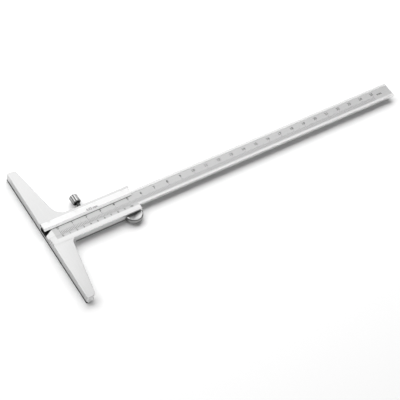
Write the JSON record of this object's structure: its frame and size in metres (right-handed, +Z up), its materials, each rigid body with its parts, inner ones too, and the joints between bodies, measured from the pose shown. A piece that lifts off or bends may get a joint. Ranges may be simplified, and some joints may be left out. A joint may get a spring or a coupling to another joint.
{
  "type": "vernier depth gauge",
  "caption": "Flat T-shaped measuring bridge with a graduated beam that slides through it, read against a vernier plate and held by a knurled lock screw.",
  "frame": {"origin": "on the plane of the measuring face, under the beam's centre line, at the level of the underside", "axes": "+X along the beam away from the measuring face, +Y along the bridge towards the lock screw's side, +Z up from the face it lies on"},
  "size_m": [0.274, 0.1, 0.0067],
  "materials": {
    "ground_steel": "satin ground steel",
    "beam_steel": "satin chrome-plated steel, fine lengthwise grain",
    "plate_steel": "pale satin chrome",
    "turned_steel": "turned bright steel",
    "blackened_steel": "black oxide",
    "gib_brass": "rolled phosphor bronze"
  },
  "bodies": {
    "frame": {"bridge_frame": "ground_steel", "guide_strip": "plate_steel", "guide_strip_rivets": "plate_steel", "vernier_plate": "plate_steel", "vernier_plate_screws": "blackened_steel", "gib_strip": "gib_brass", "gib_pressing_screws": "blackened_steel", "gib_locking_screws": "blackened_steel"},
    "beam": {"beam": "beam_steel", "beam_stop_stud": "turned_steel"},
    "lock_screw": {"lock_screw": "turned_steel"}
  },
  "joints": [
    {"name": "depth_slide", "type": "slide", "parent": "frame", "child": "beam", "axis": [-1, 0, 0], "range_m": [0, 0.2]},
    {"name": "lock_screw_turn", "type": "hinge", "parent": "frame", "child": "lock_screw", "pos_m": [0.0295, 0.0155, 0.0039], "axis": [0, 1, 0], "range_deg": [0, 360]}
  ]
}
